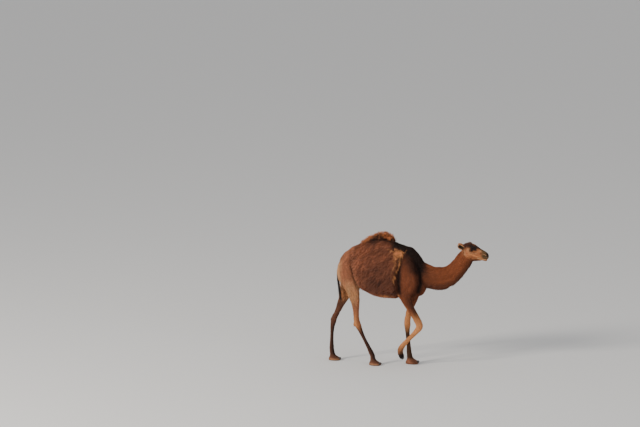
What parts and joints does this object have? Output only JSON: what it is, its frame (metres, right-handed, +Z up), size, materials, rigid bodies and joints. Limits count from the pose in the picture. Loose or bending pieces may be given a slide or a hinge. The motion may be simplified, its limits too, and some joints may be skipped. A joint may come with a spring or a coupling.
{
  "type": "dromedary camel",
  "caption": "One-humped camel, walking, with one forefoot lifted, a shaggy barrel, a crest of matted wool on the hump and a long low neck.",
  "frame": {"origin": "on the floor, under the middle of the animal's bounding box", "axes": "+X from the tail towards the nose, +Y to the animal's left, +Z up"},
  "size_m": [2.5041, 0.6065, 2.0417],
  "materials": {
    "sleek_coat": "short chestnut hair lying flat",
    "woolly_coat": "thick mottled brown wool",
    "crest_wool": "matted tan curls",
    "tail_hair": "coarse dark hair",
    "foot_skin": "worn skin under short hair",
    "eye": "wet dark brown",
    "nail_horn": "dull dark horn"
  },
  "bodies": {
    "root": {"head": "sleek_coat", "neck": "sleek_coat", "trunk": "woolly_coat", "hump": "woolly_coat", "hump_crest": "crest_wool", "tail": "tail_hair", "ear_left": "sleek_coat", "ear_right": "sleek_coat", "eye_left": "eye", "eye_right": "eye", "forearm_left": "sleek_coat", "cannon_front_left": "sleek_coat", "foot_front_left": "foot_skin", "gaskin_left": "sleek_coat", "cannon_hind_left": "sleek_coat", "foot_hind_left": "foot_skin", "forearm_right": "sleek_coat", "cannon_front_right": "sleek_coat", "foot_front_right": "foot_skin", "gaskin_right": "sleek_coat", "cannon_hind_right": "sleek_coat", "foot_hind_right": "foot_skin", "nail_front_left_left": "nail_horn", "nail_front_left_right": "nail_horn", "nail_front_right_left": "nail_horn", "nail_front_right_right": "nail_horn", "nail_hind_left_left": "nail_horn", "nail_hind_left_right": "nail_horn", "nail_hind_right_left": "nail_horn", "nail_hind_right_right": "nail_horn"}
  },
  "joints": []
}
